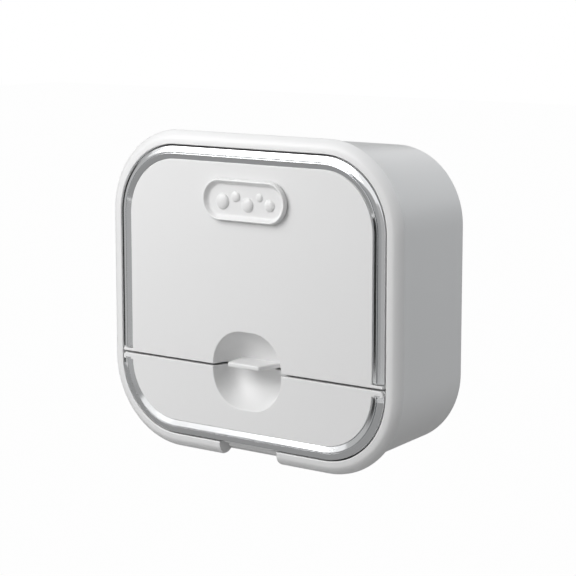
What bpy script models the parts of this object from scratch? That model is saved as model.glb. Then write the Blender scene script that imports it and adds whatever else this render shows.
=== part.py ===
"""Wall soap box with a lift-up flap and a pull-out drawer.

Origin: middle of the adhesive pad's rear face, where it meets the wall.
+Y points into the wall, +Z is up, +X is to the right seen from the front.
Pieces are drawn from the plane of the front gap, with depth running into
the wall, and the front_plane empty puts them in front of the wall.
"""
import math

import bmesh
import bpy
from mathutils import Matrix, Vector

# Housing
BEZEL_W = 0.1400          # width over the bead
BEZEL_H = 0.1257          # height over the bead
BEZEL_CORNER = 0.0336     # corner radius of the bead
RIM_SIDE = 0.0057         # front ring, left and right
RIM_TOP = 0.0054          # front ring, top and bottom
OPENING_CORNER = 0.0283   # corner radius of the front opening
BEAD_DEPTH = 0.0100       # bead, front plane to the flat side
BEAD_PROUD = 0.0031       # bead, over the side wall behind it
BODY_DEPTH = 0.0488       # front plane to the rear rim
BODY_DRAFT = 0.0017       # side walls draw in, bead to rear rim
WALL = 0.0022             # side walls
BACK_WALL = 0.0022        # back wall of the inside
REAR_POCKET = 0.0042      # hollow behind the back wall
NOTCH_W = 0.0280          # finger notch in the lower ring
NOTCH_DEPTH = 0.0060
NOTCH_TAPER = 0.0010      # each side draws in over the depth

# Clearances
SEAT_GAP = 0.0003         # a piece on its seat
HOLE_GAP = 0.00015        # pin or screw in its hole
DOOR_GAP = 0.0005         # doors to the opening
SEAM_GAP = 0.0007         # flap to drawer front
HOOK_PLAY = 0.0004        # spare height of the hook slots
OVERRUN = 0.0010          # cutters run past what they cut

# Doors
SEAM_UP = 0.03035         # seam over the opening's lower edge
PANEL_PROUD = 0.0005      # panels stand in front of the front plane
DOOR_BACK = 0.0020        # rear face of both doors
TRIM_W = 0.0052           # metal band
TRIM_CREST = 0.0006       # band's crest over the front plane
TRIM_BACK = 0.0005        # band's rear face
TRIM_INNER_PROUD = 0.0002
END_BAR_PROUD = 0.0003    # plain door corners between the bands' ends
FLAP_BAND_END = 0.0012    # corner bar on the flap
DRAWER_BAND_END = 0.0024  # corner bar on the drawer front

# Finger recess
RECESS_W = 0.0330
RECESS_H = 0.0292
RECESS_CORNER = 0.0138
RECESS_DEPTH = 0.0096
RECESS_WALL = 0.0015
RECESS_OFFSET = 0.0003    # recess middle below the seam
TAB_THICK = 0.0019
TAB_W = 0.0160
TAB_PROUD = 0.0026        # its front edge before the front plane
TAB_CORNER = 0.0012
TAB_LIFT = 0.0003         # its underside over the flap's lower edge
LIP_W = 0.0240            # pull lip under the drawer front
LIP_DROP = 0.0016
LIP_FRONT = 0.0008

# Badge
BADGE_W = 0.0405
BADGE_H = 0.0163
BADGE_FALL = 0.01950      # badge middle under the opening's upper edge
BADGE_RIM = 0.0012
BADGE_PROUD = 0.0018
BADGE_FLOOR = 0.0004
BADGE_STUD_R = 0.0011
BADGE_STUD_SPREAD = 0.0240
BUBBLE_R = 0.0031         # largest dome on the badge

# Flap hinge
HINGE_DEPTH = 0.0045
HINGE_FALL = 0.02945      # axis under the opening's upper edge
PIN_R = 0.0012
PIN_HEAD_R = 0.0019
PIN_HEAD_T = 0.0007
EAR_R = 0.0029
EAR_T = 0.0026
BOSS_R = 0.0022           # side frame round the pin

# Side frames
FRAME_SIDE_GAP = 0.0009
FRAME_WALL = 0.0017
LEDGE_W = 0.0022
LEDGE_T = 0.0020
RUNNER_T = 0.0017
LEDGE_START = 0.0060
LEDGE_STOP = 0.0024       # ledges end before the back wall
STOP_W = 0.0042           # front flange that stops the flap
STOP_T = 0.0015
STOP_BACK = 0.0015        # flange behind the door's rear face
STOP_FROM_SEAM = 0.0031   # flange's lower end over the seam
STOP_FROM_HINGE = 0.0080  # flange's upper end under the axis
SCREW_BOSS_W = 0.0052
SCREW_BOSS_LEN = 0.0080
SCREW_FROM_HINGE = 0.0130 # upper screws under the axis
SCREW_FROM_RACK = 0.0108  # lower screws over the rack
FRAME_SCREW_R = 0.0012
FRAME_SCREW_LEN = 0.0088
FRAME_HEAD_R = 0.0026
FRAME_HEAD_T = 0.0016
BUMPER_R = 0.0018
BUMPER_T = 0.0009
BUMPER_STEM_R = 0.0009
BUMPER_FROM_SEAM = 0.0071

# Soap rack
RACK_T = 0.0020
RACK_RISE = 0.0013        # rack's top over the seam
RACK_START = 0.0040
RACK_END_GAP = 0.0006
RACK_NOTCH_GAP = 0.0020   # round the finger recess
RACK_SLOT_W = 0.0036
RACK_MARGIN = 0.00335     # rack left whole at both ends of the slots
RACK_SLOT_PITCH = 0.0110
RACK_RIB_T = 0.0016
RACK_RIB_H = 0.0015
RACK_RIB_END = 0.0100

# Drawer tray
TRAY_START = 0.0046
TRAY_WALL = 0.0016
TRAY_CORNER = 0.0220
TRAY_REAR_GAP = 0.0009
TRAY_FLOOR_GAP = 0.0015
TRAY_FLANGE_T = 0.0016
TRAY_NOTCH_GAP = 0.0005
TRAY_SCREW_X = 0.0380
TRAY_SCREW_DROP = 0.0150  # below the seam
TRAY_SCREW_R = 0.0010
TRAY_HEAD_R = 0.0022
TRAY_HEAD_T = 0.0014
TRAY_BOSS_R = 0.0026

# Wall plate and pad
PLATE_W = 0.0900
PLATE_FOOT = 0.0130       # plate below the lower hooks
PLATE_HEAD = 0.0040       # plate over the upper hooks
PLATE_T = 0.0020
PLATE_CORNER = 0.0080
PAD_T = 0.0010
PAD_BORDER = 0.0020
PAD_CLEAR = 0.0005        # pad's rear face behind the rear rim
HOOK_X = 0.0300
HOOK_W = 0.0120
HOOK_T = 0.0020
HOOK_NECK = 0.0030
HOOK_UP = 0.0070
HOOK_FALL = 0.02345       # upper hooks under the opening's upper edge
HOOK_FROM_RACK = 0.0088   # lower hooks over the rack

# Facets
CORNER_STEPS = 9
ROUND_STEPS = 24
SMALL_STEPS = 16
WELD = 0.00001
FLAT = math.radians(0.5)  # faces this close to one plane become one

# Bead outline: depth as a share of BEAD_DEPTH, inset as a share of BEAD_PROUD
BEAD_SHARES = [(0.0, 1.60), (0.016, 1.23), (0.034, 0.97), (0.067, 0.74), (0.119, 0.52), (0.185, 0.30),
               (0.258, 0.11), (0.318, 0.01), (0.34, 0.0), (0.402, 0.07), (0.495, 0.32), (0.592, 0.64),
               (0.712, 0.83), (0.86, 0.92), (1.0, 1.0)]
# Recess outline: depth as a share of RECESS_DEPTH, inset as a share of RECESS_CORNER
RECESS_SHARES = [(0.0, 0.0), (0.12, 0.015), (0.42, 0.045), (0.68, 0.105), (0.86, 0.24), (0.96, 0.47), (1.0, 0.74)]
# Domes on the badge: place as shares of its width and height, size as a share of BUBBLE_R
BUBBLE_SHARES = [(-0.27, -0.04, 1.0), (-0.11, 0.08, 0.66), (0.03, -0.09, 0.88), (0.17, 0.10, 0.52),
                 (0.29, -0.06, 0.76)]

# Places that follow from the sizes
half_w = BEZEL_W / 2
half_h = BEZEL_H / 2
open_w = half_w - RIM_SIDE
open_h = half_h - RIM_TOP
door_w = open_w - DOOR_GAP
door_h = open_h - DOOR_GAP
door_r = OPENING_CORNER - DOOR_GAP
panel_w = door_w - TRIM_W - SEAT_GAP
panel_h = door_h - TRIM_W - SEAT_GAP
panel_r = door_r - TRIM_W - SEAT_GAP
back_rear = BODY_DEPTH - REAR_POCKET
back_front = back_rear - BACK_WALL
inner_inset = BEAD_PROUD + BODY_DRAFT + WALL
inner_w = half_w - inner_inset
inner_h = half_h - inner_inset
inner_r = BEZEL_CORNER - inner_inset
seam_z = SEAM_UP - open_h
hinge_z = open_h - HINGE_FALL
badge_z = open_h - BADGE_FALL
flap_low = seam_z + SEAM_GAP / 2
drawer_top = seam_z - SEAM_GAP / 2
recess_z = seam_z - RECESS_OFFSET
rebate = TRIM_BACK + SEAT_GAP
frame_out = inner_w - FRAME_SIDE_GAP
frame_in = frame_out - FRAME_WALL
frame_front = DOOR_BACK + SEAT_GAP
frame_back = back_front - SEAT_GAP
ear_out = frame_in - SEAT_GAP
ledge_in = frame_in - LEDGE_W
rack_top = seam_z + RACK_RISE
rack_low = rack_top - RACK_T
ledge_top = rack_low - SEAT_GAP
ledge_low = ledge_top - LEDGE_T
flange_top = ledge_low - SEAT_GAP
flange_low = flange_top - TRAY_FLANGE_T
runner_top = flange_low - SEAT_GAP
runner_low = runner_top - RUNNER_T
stop_front = DOOR_BACK + STOP_BACK
stop_x = frame_in - STOP_W / 2
stop_low = seam_z + STOP_FROM_SEAM
stop_high = hinge_z - STOP_FROM_HINGE
bumper_z = seam_z + BUMPER_FROM_SEAM
screw_heights = {"upper": hinge_z - SCREW_FROM_HINGE, "lower": rack_top + SCREW_FROM_RACK}
screw_x = frame_in - SCREW_BOSS_W / 2 + OVERRUN / 2
tray_w = ledge_in - SEAT_GAP
tray_low = -(inner_h - TRAY_FLOOR_GAP)
tray_back = back_front - TRAY_REAR_GAP
tray_screw_z = seam_z - TRAY_SCREW_DROP
plate_back = BODY_DEPTH + PAD_CLEAR - PAD_T - SEAT_GAP
plate_front = plate_back - PLATE_T
hook_back = back_front - SEAT_GAP
hook_heights = (open_h - HOOK_FALL, rack_top + HOOK_FROM_RACK)
plate_high = hook_heights[0] + HOOK_NECK + HOOK_UP + PLATE_HEAD
plate_low = hook_heights[1] - PLATE_FOOT
plate_h = (plate_high - plate_low) / 2
plate_z = (plate_high + plate_low) / 2
front_y = -(BODY_DEPTH + PAD_CLEAR)

for leftover in list(bpy.data.objects):
    bpy.data.objects.remove(leftover, do_unlink=True)

parts = bpy.data.collections.new("wall_soap_box")
guides = bpy.data.collections.new("cutters")
bpy.context.scene.collection.children.link(parts)
bpy.context.scene.collection.children.link(guides)


def empty(name, place, parent=None):
    """An empty in the parts collection, placed under its parent."""
    marker = bpy.data.objects.new(name, None)
    marker.empty_display_size = BEAD_DEPTH
    marker.location = place
    marker.parent = parent
    parts.objects.link(marker)
    return marker


front_plane = empty("front_plane", (0, front_y, 0))
flap_axis = empty("flap_axis", (0, HINGE_DEPTH, hinge_z), front_plane)
drawer_rail = empty("drawer_rail", (0, LEDGE_START, runner_top), front_plane)


def material(name, colour, roughness, metallic=0.0):
    """A plain surface of one colour."""
    surface = bpy.data.materials.new(name)
    surface.use_nodes = True
    shader = surface.node_tree.nodes["Principled BSDF"]
    shader.inputs["Base Color"].default_value = (*colour, 1)
    shader.inputs["Roughness"].default_value = roughness
    shader.inputs["Metallic"].default_value = metallic
    return surface


# Mesh makers, all in front-plane coordinates

def rounded_rect(wide, high, radius, middle=0.0, steps=CORNER_STEPS):
    """Points of a rounded rectangle of the given half sizes, anticlockwise."""
    points = []
    for turn, (side, up) in enumerate(((1, 1), (-1, 1), (-1, -1), (1, -1))):
        for step in range(steps + 1):
            angle = (turn + step / steps) * math.pi / 2
            points.append((side * (wide - radius) + radius * math.cos(angle),
                           middle + up * (high - radius) + radius * math.sin(angle)))
    return points


def arc(u, v, radius, start, stop, steps=ROUND_STEPS // 2):
    """Points of an arc about (u, v), angles in degrees."""
    turns = [math.radians(start + (stop - start) * step / steps) for step in range(steps + 1)]
    return [(u + radius * math.cos(turn), v + radius * math.sin(turn)) for turn in turns]


def finish_mesh(work, name):
    """Weld, point the faces outwards and return a mesh."""
    bmesh.ops.remove_doubles(work, verts=work.verts, dist=WELD)
    bmesh.ops.recalc_face_normals(work, faces=work.faces)
    mesh = bpy.data.meshes.new(name)
    work.to_mesh(mesh)
    work.free()
    return mesh


def loft(sections, closed=False):
    """Skin between outlines of equal count; each is (points, depth)."""
    work = bmesh.new()
    rings = [[work.verts.new((x, depth, z)) for x, z in points] for points, depth in sections]
    pairs = list(zip(rings, rings[1:]))
    if closed:
        pairs.append((rings[-1], rings[0]))
    for near, far in pairs:
        for k in range(len(near)):
            n = (k + 1) % len(near)
            work.faces.new((near[k], near[n], far[n], far[k]))
    if not closed:
        work.faces.new(rings[0])
        work.faces.new(rings[-1])
    return finish_mesh(work, "loft")


def box(x0, x1, y0, y1, z0, z1):
    """A block between two corners."""
    work = bmesh.new()
    bmesh.ops.create_cube(work, size=1)
    stretch = Matrix.Diagonal((x1 - x0, y1 - y0, z1 - z0, 1))
    shift = Matrix.Translation(((x0 + x1) / 2, (y0 + y1) / 2, (z0 + z1) / 2))
    work.transform(shift @ stretch)
    return finish_mesh(work, "box")


TURNS = {"y": Matrix.Rotation(math.pi / 2, 4, "X"), "z": Matrix.Identity(4),
         "x": Matrix(((0, 0, 1, 0), (1, 0, 0, 0), (0, 1, 0, 0), (0, 0, 0, 1)))}


def rod(radius, axis, low, high, u, v, steps=ROUND_STEPS):
    """A cylinder along an axis; u and v are its other two coordinates in X, Y, Z order."""
    work = bmesh.new()
    bmesh.ops.create_cone(work, cap_ends=True, segments=steps, radius1=radius, radius2=radius,
                          depth=high - low)
    middle = (low + high) / 2
    place = {"x": (middle, u, v), "y": (u, middle, v), "z": (u, v, middle)}[axis]
    work.transform(Matrix.Translation(place) @ TURNS[axis])
    return finish_mesh(work, "rod")


def slab(outline, axis, low, high):
    """A flat outline made solid along an axis."""
    curve = bpy.data.curves.new("outline", "CURVE")
    curve.dimensions = "2D"
    curve.fill_mode = "BOTH"
    curve.extrude = (high - low) / 2
    spline = curve.splines.new("POLY")
    spline.points.add(len(outline) - 1)
    for point, (u, v) in zip(spline.points, outline):
        point.co = (u, v, 0, 1)
    spline.use_cyclic_u = True
    holder = bpy.data.objects.new("outline", curve)
    guides.objects.link(holder)
    bpy.context.view_layer.update()
    flat = bpy.data.meshes.new_from_object(holder.evaluated_get(bpy.context.evaluated_depsgraph_get()))
    bpy.data.objects.remove(holder)
    work = bmesh.new()
    work.from_mesh(flat)
    middle = (low + high) / 2
    shift = {"x": (middle, 0, 0), "y": (0, middle, 0), "z": (0, 0, middle)}[axis]
    work.transform(Matrix.Translation(shift) @ TURNS[axis])
    bmesh.ops.remove_doubles(work, verts=work.verts, dist=WELD)
    bmesh.ops.dissolve_limit(work, angle_limit=FLAT, verts=work.verts, edges=work.edges)
    return finish_mesh(work, "slab")


def merge(meshes):
    """Several separate solids in one mesh, for a cutter."""
    work = bmesh.new()
    for mesh in meshes:
        work.from_mesh(mesh)
    return finish_mesh(work, "set")


def guide(mesh):
    """A hidden object that cuts or joins another."""
    helper = bpy.data.objects.new("guide", mesh)
    helper.parent = front_plane
    helper.hide_render = True
    helper.display_type = "WIRE"
    guides.objects.link(helper)
    return helper


def piece(name, mesh, surface, carrier=front_plane):
    """A named piece, drawn in front-plane coordinates and hung on its carrier."""
    if carrier is not front_plane:
        mesh.transform(Matrix.Translation(-Vector(carrier.location)))
    part = bpy.data.objects.new(name, mesh)
    part.parent = carrier
    mesh.materials.clear()
    mesh.materials.append(surface)
    parts.objects.link(part)
    return part


def combine(part, mesh, operation):
    """Cut a solid from a piece, or join one to it."""
    step = part.modifiers.new(operation.lower(), "BOOLEAN")
    step.operation = operation
    step.solver = "EXACT"
    step.object = guide(mesh)


def cut(part, mesh):
    combine(part, mesh, "DIFFERENCE")


def join(part, mesh):
    combine(part, mesh, "UNION")


def turned(name, profile, surface, place, turn, steps=SMALL_STEPS):
    """A turned piece: profile of (radius, height) down its outer side."""
    mesh = bpy.data.meshes.new(name)
    mesh.from_pydata([(radius, 0, height) for radius, height in profile],
                     [(k, k + 1) for k in range(len(profile) - 1)], [])
    part = bpy.data.objects.new(name, mesh)
    part.parent = front_plane
    part.location = place
    part.rotation_euler = turn
    mesh.materials.append(surface)
    spin = part.modifiers.new("turn", "SCREW")
    spin.steps = steps
    spin.render_steps = steps
    spin.use_merge_vertices = True
    spin.merge_threshold = WELD
    spin.use_smooth_shade = True
    parts.objects.link(part)
    return part


white = material("white_plastic", (0.86, 0.86, 0.85), 0.28)
pearl = material("satin_white", (0.78, 0.78, 0.77), 0.42)
inner = material("inner_white", (0.80, 0.80, 0.79), 0.45)
chrome = material("bright_chrome", (0.80, 0.80, 0.81), 0.07, 1.0)
grey = material("grey_plastic", (0.52, 0.53, 0.54), 0.50)
foam = material("foam_pad", (0.88, 0.88, 0.86), 0.85)
rubber = material("clear_rubber", (0.70, 0.70, 0.68), 0.55)
steel = material("screw_steel", (0.62, 0.62, 0.60), 0.30, 1.0)


def add_wall_mount():
    """Foam pad and the plate whose hooks carry the housing."""
    pad_outline = rounded_rect(PLATE_W / 2 - PAD_BORDER, plate_h - PAD_BORDER,
                               PLATE_CORNER - PAD_BORDER, plate_z, SMALL_STEPS // 2)
    piece("adhesive_pad", slab(pad_outline, "y", BODY_DEPTH + PAD_CLEAR - PAD_T, BODY_DEPTH + PAD_CLEAR), foam)
    plate_outline = rounded_rect(PLATE_W / 2, plate_h, PLATE_CORNER, plate_z, SMALL_STEPS // 2)
    plate = piece("wall_plate", slab(plate_outline, "y", plate_front, plate_back), grey)
    hooks = []
    for side in (-1, 1):
        for low in hook_heights:
            hook = [(plate_front + PLATE_T / 2, low), (plate_front + PLATE_T / 2, low + HOOK_NECK),
                    (hook_back, low + HOOK_NECK), (hook_back, low + HOOK_NECK + HOOK_UP),
                    (hook_back - HOOK_T, low + HOOK_NECK + HOOK_UP), (hook_back - HOOK_T, low)]
            middle = side * HOOK_X
            hooks.append(slab(hook, "x", middle - HOOK_W / 2, middle + HOOK_W / 2))
    join(plate, merge(hooks))


def add_housing():
    """One moulding: bead, side walls, back wall, rear pocket and notch."""
    sections = []
    for depth, inset in BEAD_SHARES:
        draw = inset * BEAD_PROUD
        sections.append((rounded_rect(half_w - draw, half_h - draw, BEZEL_CORNER - draw), depth * BEAD_DEPTH))
    rear = BEAD_PROUD + BODY_DRAFT
    sections.append((rounded_rect(half_w - rear, half_h - rear, BEZEL_CORNER - rear), BODY_DEPTH))
    housing = piece("outer_housing", loft(sections), white)
    opening = rounded_rect(open_w, open_h, OPENING_CORNER)
    inside = rounded_rect(inner_w, inner_h, inner_r)
    cut(housing, loft([(opening, -OVERRUN), (opening, BEAD_DEPTH), (inside, back_front)]))
    pocket = rounded_rect(inner_w, inner_h, inner_r)
    cut(housing, loft([(pocket, back_rear), (pocket, BODY_DEPTH + OVERRUN)]))
    slots = []
    for side in (-1, 1):
        for low in hook_heights:
            top = low + HOOK_NECK + SEAT_GAP
            tall = HOOK_NECK + HOOK_UP + SEAT_GAP + HOOK_PLAY
            reach = HOOK_W / 2 + SEAT_GAP
            slots.append(box(side * HOOK_X - reach, side * HOOK_X + reach, back_front - OVERRUN,
                             back_rear + OVERRUN, top - tall - HOOK_PLAY, top))
    for side in (-1, 1):
        for height in screw_heights.values():
            slots.append(rod(FRAME_SCREW_R + HOLE_GAP, "y", back_front - OVERRUN, back_rear + OVERRUN,
                             side * screw_x, height, SMALL_STEPS))
    cut(housing, merge(slots))
    front = NOTCH_W / 2
    back = front - NOTCH_TAPER
    low = -half_h - OVERRUN
    high = -open_h + OVERRUN
    near = [(-front, low), (front, low), (front, high), (-front, high)]
    far = [(-back, low), (back, low), (back, high), (-back, high)]
    cut(housing, loft([(near, -OVERRUN), (far, NOTCH_DEPTH)]))


def add_side_frame(name, side):
    """Plate with the hinge boss, stop flange, rack ledge, drawer runner and screw bosses."""
    profile = [(frame_back, runner_low), (frame_back, hinge_z + BOSS_R)]
    profile += arc(HINGE_DEPTH, hinge_z, BOSS_R, 90, 180)
    profile += [(frame_front, runner_low)]
    start, stop = sorted((side * frame_in, side * frame_out))
    frame = piece(name, slab(profile, "x", start, stop), pearl)

    def span(inner_x):
        return sorted((side * inner_x, side * (frame_in + FRAME_WALL / 2)))

    low_x, high_x = span(ledge_in)
    ledge_end = frame_back - LEDGE_STOP
    join(frame, box(low_x, high_x, LEDGE_START, ledge_end, ledge_low, ledge_top))
    join(frame, box(low_x, high_x, LEDGE_START, ledge_end, runner_low, runner_top))
    low_x, high_x = span(frame_in - STOP_W)
    join(frame, box(low_x, high_x, stop_front, stop_front + STOP_T, stop_low, stop_high))
    low_x, high_x = span(screw_x - SCREW_BOSS_W / 2)
    for middle in screw_heights.values():
        join(frame, box(low_x, high_x, frame_back - SCREW_BOSS_LEN, frame_back,
                        middle - SCREW_BOSS_W / 2, middle + SCREW_BOSS_W / 2))
    holes = [rod(PIN_R + HOLE_GAP, "x", *sorted((side * (frame_in - OVERRUN), side * (frame_out + OVERRUN))),
                 HINGE_DEPTH, hinge_z, SMALL_STEPS)]
    for height in screw_heights.values():
        holes.append(rod(FRAME_SCREW_R + HOLE_GAP, "y", back_rear - FRAME_SCREW_LEN - OVERRUN / 2,
                         frame_back + OVERRUN, side * screw_x, height, SMALL_STEPS))
    holes.append(rod(BUMPER_STEM_R + HOLE_GAP, "y", stop_front - OVERRUN, stop_front + STOP_T + OVERRUN,
                     side * stop_x, bumper_z, SMALL_STEPS))
    cut(frame, merge(holes))


def add_fasteners():
    """Pins, screws and bumpers."""
    along_y = (-math.pi / 2, 0, 0)
    shank = FRAME_SCREW_LEN
    for side, hand in ((-1, "left"), (1, "right")):
        for level, height in screw_heights.items():
            head = FRAME_HEAD_T
            profile = [(0, head), (FRAME_HEAD_R * 0.7, head), (FRAME_HEAD_R, head / 2), (FRAME_HEAD_R, 0),
                       (FRAME_SCREW_R, 0), (FRAME_SCREW_R, -shank + FRAME_SCREW_R), (0, -shank)]
            turned(f"frame_screw_{hand}_{level}", profile, steel,
                   (side * screw_x, back_rear + SEAT_GAP, height), along_y)
        inner_end = ear_out - EAR_T
        reach = frame_out + SEAT_GAP
        length = reach - inner_end
        profile = [(0, PIN_HEAD_T), (PIN_HEAD_R, PIN_HEAD_T), (PIN_HEAD_R, 0), (PIN_R, 0), (PIN_R, -length),
                   (0, -length)]
        turned(f"hinge_pin_{hand}", profile, steel, (side * reach, HINGE_DEPTH, hinge_z),
               (0, side * math.pi / 2, 0))
        head = BUMPER_T
        tail = stop_front + STOP_T - (frame_front + head)
        profile = [(BUMPER_STEM_R, head), (BUMPER_R, head), (BUMPER_R, 0), (0, 0)]
        profile = [(0, tail + head), (BUMPER_STEM_R, tail + head)] + profile
        turned(f"flap_bumper_{hand}", profile, rubber, (side * stop_x, frame_front, bumper_z), along_y)
        head = TRAY_HEAD_T
        seat = TRAY_START + TRAY_WALL + SEAT_GAP
        length = seat - DOOR_BACK - SEAT_GAP
        profile = [(0, head), (TRAY_HEAD_R * 0.7, head), (TRAY_HEAD_R, head / 2), (TRAY_HEAD_R, 0),
                   (TRAY_SCREW_R, 0), (TRAY_SCREW_R, -length), (0, -length)]
        screw = turned(f"tray_screw_{hand}", profile, steel, (side * TRAY_SCREW_X, seat, tray_screw_z), along_y)
        screw.parent = drawer_rail
        screw.location = Vector(screw.location) - Vector(drawer_rail.location)


def add_soap_rack():
    """Slotted shelf with ribs, cut back round the finger recess."""
    reach = frame_in - SEAT_GAP
    rack_end = frame_back - RACK_END_GAP
    rack = piece("soap_rack", box(-reach, reach, RACK_START, rack_end, rack_low, rack_top), inner)
    notch = RECESS_W / 2 + RECESS_WALL + RACK_NOTCH_GAP
    notch_end = RECESS_DEPTH + RECESS_WALL + RACK_NOTCH_GAP
    cut(rack, box(-notch, notch, RACK_START - OVERRUN, notch_end, rack_low - OVERRUN, rack_top + OVERRUN))
    count = int((reach - RACK_RIB_END) / RACK_SLOT_PITCH)
    slot_start = notch_end + RACK_MARGIN
    slot_end = rack_end - RACK_MARGIN
    slots = []
    ribs = []
    for k in range(-count, count + 1):
        x = k * RACK_SLOT_PITCH
        slots.append(box(x - RACK_SLOT_W / 2, x + RACK_SLOT_W / 2, slot_start, slot_end, rack_low - OVERRUN,
                         rack_top + OVERRUN))
        if k < count:
            x += RACK_SLOT_PITCH / 2
            ribs.append(box(x - RACK_RIB_T / 2, x + RACK_RIB_T / 2, slot_start, slot_end, rack_top - RACK_T / 2,
                            rack_top + RACK_RIB_H))
    cut(rack, merge(slots))
    join(rack, merge(ribs))


def recess_shell(grow, start):
    """The bowl of the finger recess, grown by a wall, from a depth in front of it."""
    sections = [(rounded_rect(RECESS_W / 2 + grow, RECESS_H / 2 + grow, RECESS_CORNER + grow, recess_z), start)]
    for depth, inset in RECESS_SHARES:
        draw = inset * RECESS_CORNER * 0.8 - grow
        sections.append((rounded_rect(RECESS_W / 2 - draw, RECESS_H / 2 - draw, RECESS_CORNER - draw, recess_z),
                         depth * (RECESS_DEPTH + grow)))
    return loft(sections)


def door_blank():
    """Panel with the sunk seat of the metal band all round."""
    panel = rounded_rect(panel_w, panel_h, panel_r)
    seat = rounded_rect(door_w, door_h, door_r)
    return loft([(panel, -PANEL_PROUD), (panel, rebate), (seat, rebate), (seat, DOOR_BACK)])


def seam_cutter(keep_upper):
    """Block that takes away the other door's half."""
    far = half_w + OVERRUN
    if keep_upper:
        low, high = -half_h - OVERRUN, flap_low
    else:
        low, high = drawer_top, half_h + OVERRUN
    return box(-far, far, -RECESS_DEPTH, RECESS_DEPTH * 2, low, high)


def add_flap():
    """Upper door: panel, half of the recess, finger tab and hinge ears."""
    flap = piece("flap_panel", door_blank(), pearl, flap_axis)
    bar = door_w - SEAT_GAP
    join(flap, box(-bar, bar, -END_BAR_PROUD, DOOR_BACK / 2, seam_z, flap_low + FLAP_BAND_END))
    join(flap, recess_shell(RECESS_WALL, rebate))
    cut(flap, recess_shell(0, -PANEL_PROUD - OVERRUN))
    half = TAB_W / 2
    tab = [(-half, RECESS_DEPTH + RECESS_WALL / 2)]
    tab += arc(TAB_CORNER - half, TAB_CORNER - TAB_PROUD, TAB_CORNER, 180, 270)
    tab += [(-x, y) for x, y in reversed(tab)]
    low = flap_low + TAB_LIFT
    join(flap, slab(tab, "z", low, low + TAB_THICK))
    ears = []
    for hand in (-1, 1):
        profile = [(DOOR_BACK * 0.75, hinge_z + EAR_R)]
        profile += arc(HINGE_DEPTH, hinge_z, EAR_R, 90, -90)
        profile += [(DOOR_BACK * 0.75, hinge_z - EAR_R)]
        ears.append(slab(profile, "x", *sorted((hand * (ear_out - EAR_T), hand * ear_out))))
    join(flap, merge(ears))
    cut(flap, seam_cutter(True))
    reach = ear_out + OVERRUN
    holes = [rod(PIN_R + HOLE_GAP, "x", *sorted((hand * (ear_out - EAR_T - OVERRUN), hand * reach)),
                 HINGE_DEPTH, hinge_z, SMALL_STEPS) for hand in (-1, 1)]
    holes += [rod(BADGE_STUD_R + HOLE_GAP, "y", -PANEL_PROUD - OVERRUN, DOOR_BACK + OVERRUN,
                  hand * BADGE_STUD_SPREAD / 2, badge_z, SMALL_STEPS) for hand in (-1, 1)]
    cut(flap, merge(holes))


def add_drawer_front():
    """Lower door: panel, half of the recess, pull lip and tray bosses."""
    front = piece("drawer_front", door_blank(), pearl, drawer_rail)
    bar = door_w - SEAT_GAP
    join(front, box(-bar, bar, -END_BAR_PROUD, DOOR_BACK / 2, drawer_top - DRAWER_BAND_END, seam_z))
    join(front, recess_shell(RECESS_WALL, rebate))
    cut(front, recess_shell(0, -PANEL_PROUD - OVERRUN))
    join(front, box(-LIP_W / 2, LIP_W / 2, LIP_FRONT, DOOR_BACK + SEAT_GAP, -door_h - LIP_DROP,
                    -door_h + TRIM_W / 2))
    bosses = [rod(TRAY_BOSS_R, "y", DOOR_BACK * 0.75, TRAY_START - SEAT_GAP, hand * TRAY_SCREW_X,
                  tray_screw_z) for hand in (-1, 1)]
    join(front, merge(bosses))
    cut(front, seam_cutter(False))
    holes = [rod(TRAY_SCREW_R + HOLE_GAP, "y", DOOR_BACK, TRAY_START + OVERRUN, hand * TRAY_SCREW_X,
                 tray_screw_z, SMALL_STEPS) for hand in (-1, 1)]
    cut(front, merge(holes))


def band():
    """Metal band round both doors, as one ring."""
    outline = [(0, TRIM_BACK), (0, 0), (TRIM_W * 0.2, -TRIM_CREST * 0.55), (TRIM_W * 0.52, -TRIM_CREST),
               (TRIM_W * 0.8, -TRIM_CREST * 0.6), (TRIM_W, -TRIM_INNER_PROUD), (TRIM_W, TRIM_BACK)]
    return loft([(rounded_rect(door_w - inset, door_h - inset, door_r - inset), depth)
                 for inset, depth in outline], closed=True)


def add_bands():
    """The band is in two pieces, one on each door, clear of the seam's corners."""
    far = half_w + OVERRUN
    upper_end = flap_low + FLAP_BAND_END + SEAT_GAP
    lower_end = drawer_top - DRAWER_BAND_END - SEAT_GAP
    upper = piece("flap_band", band(), chrome, flap_axis)
    cut(upper, box(-far, far, -HINGE_DEPTH, HINGE_DEPTH, -half_h - OVERRUN, upper_end))
    lower = piece("drawer_band", band(), chrome, drawer_rail)
    cut(lower, box(-far, far, -HINGE_DEPTH, HINGE_DEPTH, lower_end, half_h + OVERRUN))


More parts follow.
